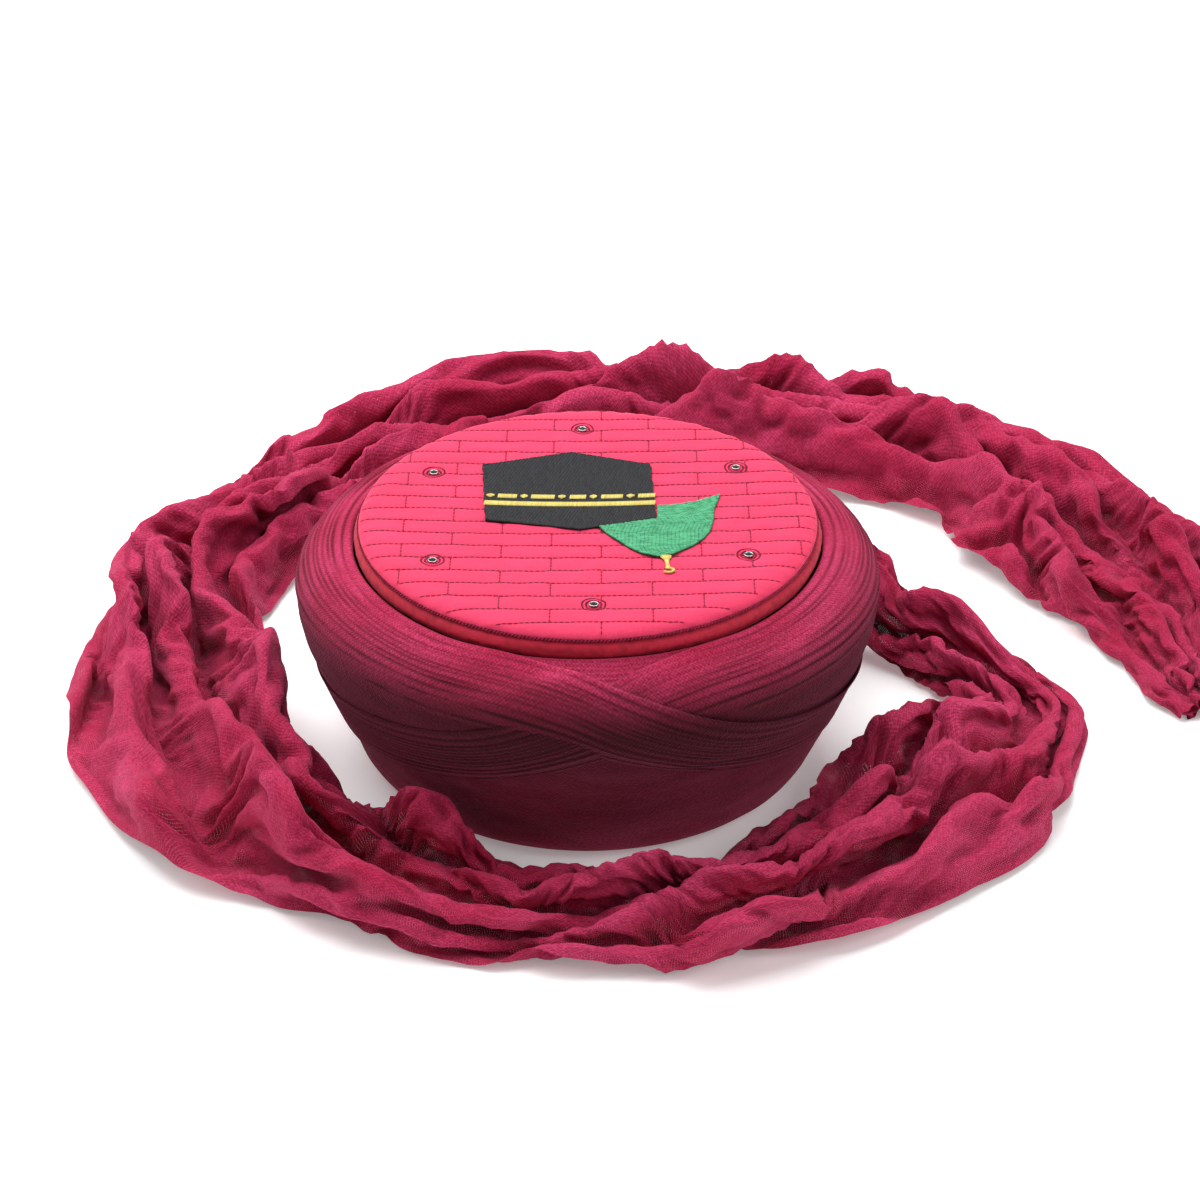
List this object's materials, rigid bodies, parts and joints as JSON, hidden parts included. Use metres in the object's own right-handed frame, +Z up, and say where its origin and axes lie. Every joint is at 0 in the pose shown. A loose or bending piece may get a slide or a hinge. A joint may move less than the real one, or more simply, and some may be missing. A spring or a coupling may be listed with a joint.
{
  "type": "turban cap",
  "caption": "Ready-wound turban: a stiff round cap with a quilted, embroidered crown, wound with muslin cloth whose free end lies in a loose ring around it.",
  "frame": {"origin": "centre of the cap's opening for the head, on the plane that the hat rests on", "axes": "+Z up through the crown's centre; -Y is the front of the hat; +X is the hat's right as the picture shows it"},
  "size_m": [0.5603, 0.5316, 0.1175],
  "materials": {
    "crown_cloth": "smooth quilted cotton",
    "cap_cloth": "plain cotton",
    "piping_cloth": "smooth cotton",
    "eyelet_metal": "polished nickel",
    "black_thread": "satin stitch",
    "gold_thread": "shiny satin stitch",
    "green_thread": "shiny satin stitch",
    "muslin": "open plain weave, crumpled"
  },
  "bodies": {
    "root": {"crown_top": "crown_cloth", "crown_side": "cap_cloth", "crown_piping": "piping_cloth", "eyelet_1": "eyelet_metal", "eyelet_2": "eyelet_metal", "eyelet_3": "eyelet_metal", "eyelet_4": "eyelet_metal", "eyelet_5": "eyelet_metal", "eyelet_6": "eyelet_metal", "embroidery_cube": "black_thread", "embroidery_belt": "gold_thread", "embroidery_marks": "gold_thread", "embroidery_dome": "green_thread", "embroidery_finial": "gold_thread", "winding_base": "muslin", "wrap_right": "muslin", "wrap_left": "muslin", "tail": "muslin"}
  },
  "joints": []
}
